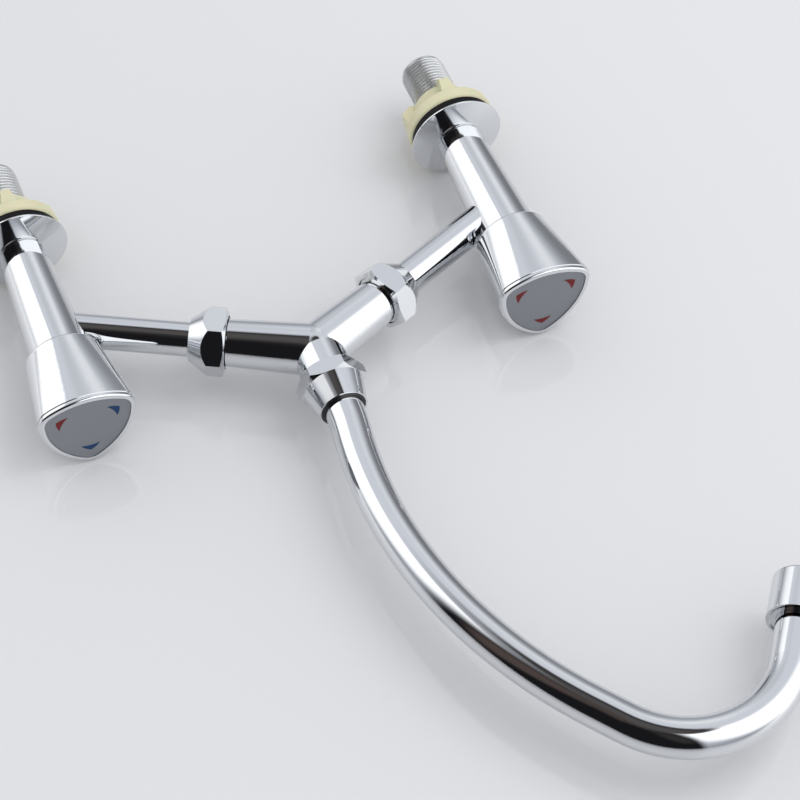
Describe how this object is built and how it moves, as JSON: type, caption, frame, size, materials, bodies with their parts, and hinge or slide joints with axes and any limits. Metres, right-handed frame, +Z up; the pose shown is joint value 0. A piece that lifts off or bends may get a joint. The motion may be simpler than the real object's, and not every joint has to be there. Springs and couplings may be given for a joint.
{
  "type": "kitchen faucet",
  "caption": "Chrome two-handle bridge kitchen faucet with deck pillars, three-cornered knobs, union nuts and a swan-neck swivel spout.",
  "frame": {"origin": "in the deck plane, midway between the two tails", "axes": "+Z up along the pillars, +X along the hole line towards the cold pillar, front at -Y"},
  "size_m": [0.2806, 0.045, 0.3846],
  "materials": {
    "chrome": "polished",
    "zinc_thread": "dull plated",
    "brass": "machined",
    "steel": "plain",
    "rubber": "matt",
    "ivory_plastic": "moulded",
    "white_plastic": "moulded",
    "black_plastic": "moulded",
    "grey_plastic": "satin",
    "ceramic": "polished ceramic"
  },
  "bodies": {
    "bridge": {"hot_flange": "chrome", "hot_tail": "zinc_thread", "hot_seal_washer": "rubber", "hot_seat_seal": "rubber", "hot_fixed_disc": "ceramic", "hot_bonnet": "brass", "hot_pillar": "chrome", "hot_arm": "chrome", "hot_union_nut": "chrome", "hot_union_seal": "rubber", "cold_flange": "chrome", "cold_tail": "zinc_thread", "cold_seal_washer": "rubber", "cold_seat_seal": "rubber", "cold_fixed_disc": "ceramic", "cold_bonnet": "brass", "cold_pillar": "chrome", "cold_arm": "chrome", "cold_union_nut": "chrome", "cold_union_seal": "rubber", "y_body": "chrome", "spout_nut": "chrome", "spout_bush": "black_plastic"},
    "spout": {"spout_tube": "chrome", "spout_tail": "brass", "spout_rings": "rubber", "outlet_collar": "chrome", "aerator_shell": "chrome", "aerator_cup": "white_plastic", "aerator_mesh": "steel", "aerator_washer": "rubber"},
    "hot_handle": {"hot_knob": "chrome", "hot_index_plate": "grey_plastic", "hot_knob_screw": "steel", "hot_spindle": "brass", "hot_spindle_ring": "rubber", "hot_circlip": "steel", "hot_moving_disc": "ceramic"},
    "hot_nut": {"hot_backnut": "ivory_plastic"},
    "cold_handle": {"cold_knob": "chrome", "cold_index_plate": "grey_plastic", "cold_knob_screw": "steel", "cold_spindle": "brass", "cold_spindle_ring": "rubber", "cold_circlip": "steel", "cold_moving_disc": "ceramic"},
    "cold_nut": {"cold_backnut": "ivory_plastic"}
  },
  "joints": [
    {"name": "spout_swivel", "type": "hinge", "parent": "bridge", "child": "spout", "pos_m": [0, 0, 0.12], "axis": [0, 0, 1], "continuous": true},
    {"name": "hot_valve", "type": "hinge", "parent": "bridge", "child": "hot_handle", "pos_m": [-0.104, 0, 0.0664], "axis": [0, 0, 1], "range_deg": [0, 90]},
    {"name": "cold_valve", "type": "hinge", "parent": "bridge", "child": "cold_handle", "pos_m": [0.104, 0, 0.0664], "axis": [0, 0, 1], "range_deg": [-90, 0]},
    {"name": "hot_nut_travel", "type": "slide", "parent": "bridge", "child": "hot_nut", "axis": [0, 0, -1], "range_m": [0, 0.016]},
    {"name": "cold_nut_travel", "type": "slide", "parent": "bridge", "child": "cold_nut", "axis": [0, 0, -1], "range_m": [0, 0.016]}
  ]
}
